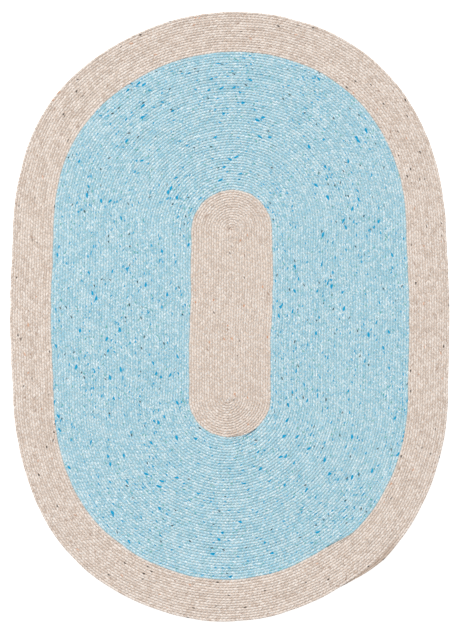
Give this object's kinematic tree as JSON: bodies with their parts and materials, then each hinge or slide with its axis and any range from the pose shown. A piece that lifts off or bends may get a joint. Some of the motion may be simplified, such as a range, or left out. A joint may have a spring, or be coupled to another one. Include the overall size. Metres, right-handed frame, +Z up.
{
  "type": "braided oval rug",
  "caption": "Flat oval braided wool rug, cream center and border with a sky-blue tweed field, lying flat.",
  "frame": {"origin": "on the floor, at the centre of the bottom of the rug's box", "axes": "+X across the rug, +Y along its length, +Z up out of the floor"},
  "size_m": [1.533, 2.1274, 0.01],
  "materials": {
    "cream_wool": "matte",
    "sky_blue_wool": "matte"
  },
  "bodies": {
    "root": {"rug_center": "cream_wool", "rug_field": "sky_blue_wool", "rug_border": "cream_wool"}
  },
  "joints": []
}
